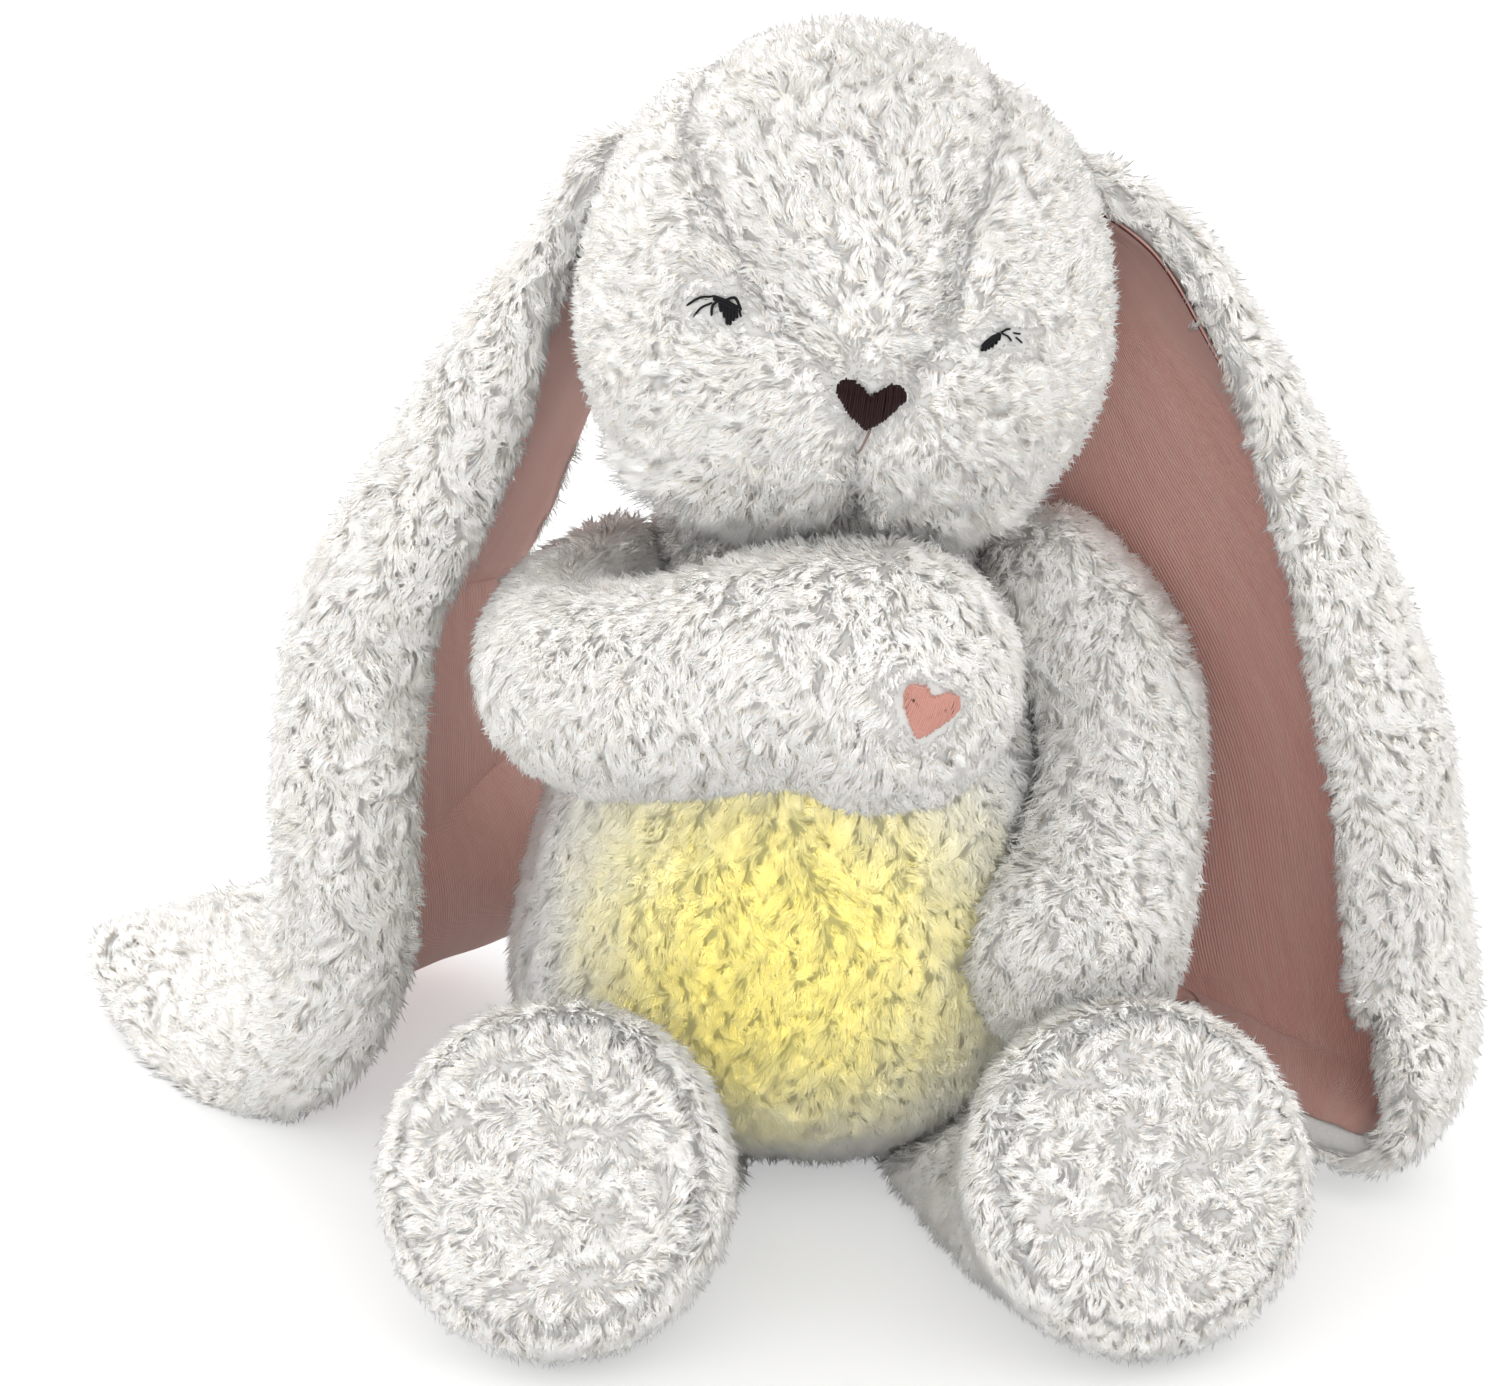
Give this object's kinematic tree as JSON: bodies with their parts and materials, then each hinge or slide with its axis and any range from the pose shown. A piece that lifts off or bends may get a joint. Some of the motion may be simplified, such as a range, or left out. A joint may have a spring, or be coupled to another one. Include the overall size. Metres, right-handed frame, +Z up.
{
  "type": "plush rabbit",
  "caption": "Seated plush rabbit with long lined ears, jointed soft limbs and head, and a glowing belly lit by a battery light in a pocket behind it.",
  "frame": {"origin": "on the floor under the seat panel, below the neck seam", "axes": "the rabbit faces -Y, its left side is +X, +Z is up"},
  "size_m": [0.3613, 0.2383, 0.2967],
  "materials": {
    "plush_pile": "long curly off-white pile",
    "ear_lining": "dusty rose ribbed satin cloth",
    "dark_thread": "dark brown satin stitch",
    "black_thread": "black satin stitch",
    "salmon_thread": "salmon satin stitch",
    "hook_tape": "woven hook and loop tape",
    "milky_plastic": "translucent milky plastic",
    "shell_plastic": "fine matt moulding",
    "circuit_board": "green solder mask",
    "bright_metal": "nickel plated",
    "battery_jacket": "plain printed sleeve",
    "black_plastic": "satin moulding"
  },
  "bodies": {
    "body": {"torso": "plush_pile", "seat_panel": "plush_pile", "tail": "plush_pile", "pocket_loop_strip": "hook_tape", "pocket_pad": "plush_pile", "light_dome": "milky_plastic", "module_housing": "shell_plastic", "battery_door": "shell_plastic", "door_screw": "bright_metal", "battery_1": "battery_jacket", "battery_2": "battery_jacket", "battery_3": "battery_jacket", "contact_spring_1": "bright_metal", "contact_spring_2": "bright_metal", "contact_spring_3": "bright_metal", "contact_plate_1": "bright_metal", "contact_plate_2": "bright_metal", "contact_plate_3": "bright_metal", "led_board": "circuit_board", "led_1": "milky_plastic", "led_2": "milky_plastic", "led_3": "milky_plastic", "led_4": "milky_plastic", "board_screw_1": "bright_metal", "board_screw_2": "bright_metal", "board_screw_3": "bright_metal", "tact_switch": "black_plastic"},
    "head": {"head": "plush_pile", "nose": "dark_thread", "mouth_stitch": "dark_thread", "eye_right": "black_thread", "eye_left": "black_thread"},
    "ear_right": {"ear_right": "plush_pile", "ear_right_lining": "ear_lining"},
    "ear_left": {"ear_left": "plush_pile", "ear_left_lining": "ear_lining"},
    "arm_right": {"arm_right": "plush_pile", "paw_heart": "salmon_thread"},
    "arm_left": {"arm_left": "plush_pile"},
    "leg_right": {"leg_right": "plush_pile", "sole_right": "plush_pile"},
    "leg_left": {"leg_left": "plush_pile", "sole_left": "plush_pile"},
    "flap": {"pocket_flap": "plush_pile", "pocket_hook_strip": "hook_tape"},
    "button": {"power_button": "black_plastic"}
  },
  "joints": [
    {"name": "head_nod", "type": "hinge", "parent": "body", "child": "head", "pos_m": [0, 0, 0.1748], "axis": [1, 0, 0], "range_deg": [-8, 0]},
    {"name": "ear_right_lift", "type": "hinge", "parent": "head", "child": "ear_right", "pos_m": [-0.04952, -0.0053, 0.26816], "axis": [0, 1, 0], "range_deg": [0, 60]},
    {"name": "ear_left_lift", "type": "hinge", "parent": "head", "child": "ear_left", "pos_m": [0.05349, 0.00735, 0.26243], "axis": [0, 1, 0], "range_deg": [-60, 0]},
    {"name": "arm_right_swing", "type": "hinge", "parent": "body", "child": "arm_right", "pos_m": [-0.04408, -0.0024, 0.14996], "axis": [0, 0, 1], "range_deg": [-18, 0]},
    {"name": "arm_left_swing", "type": "hinge", "parent": "body", "child": "arm_left", "pos_m": [0.05776, -0.0012, 0.1472], "axis": [1, 0, 0], "range_deg": [-30, 0]},
    {"name": "leg_right_splay", "type": "hinge", "parent": "body", "child": "leg_right", "pos_m": [-0.038, -0.0192, 0.0433], "axis": [0, 0, 1], "range_deg": [-8, 8]},
    {"name": "leg_left_splay", "type": "hinge", "parent": "body", "child": "leg_left", "pos_m": [0.038, -0.018, 0.0433], "axis": [0, 0, 1], "range_deg": [-8, 8]},
    {"name": "pocket_flap_open", "type": "hinge", "parent": "body", "child": "flap", "pos_m": [-0.004, 0.04651, 0.1224], "axis": [1, 0, 0], "range_deg": [0, 110]},
    {"name": "power_button_press", "type": "slide", "parent": "body", "child": "button", "axis": [0, -1, 0], "range_m": [0, 0.0006], "stiffness_N_per_m": 1200}
  ]
}
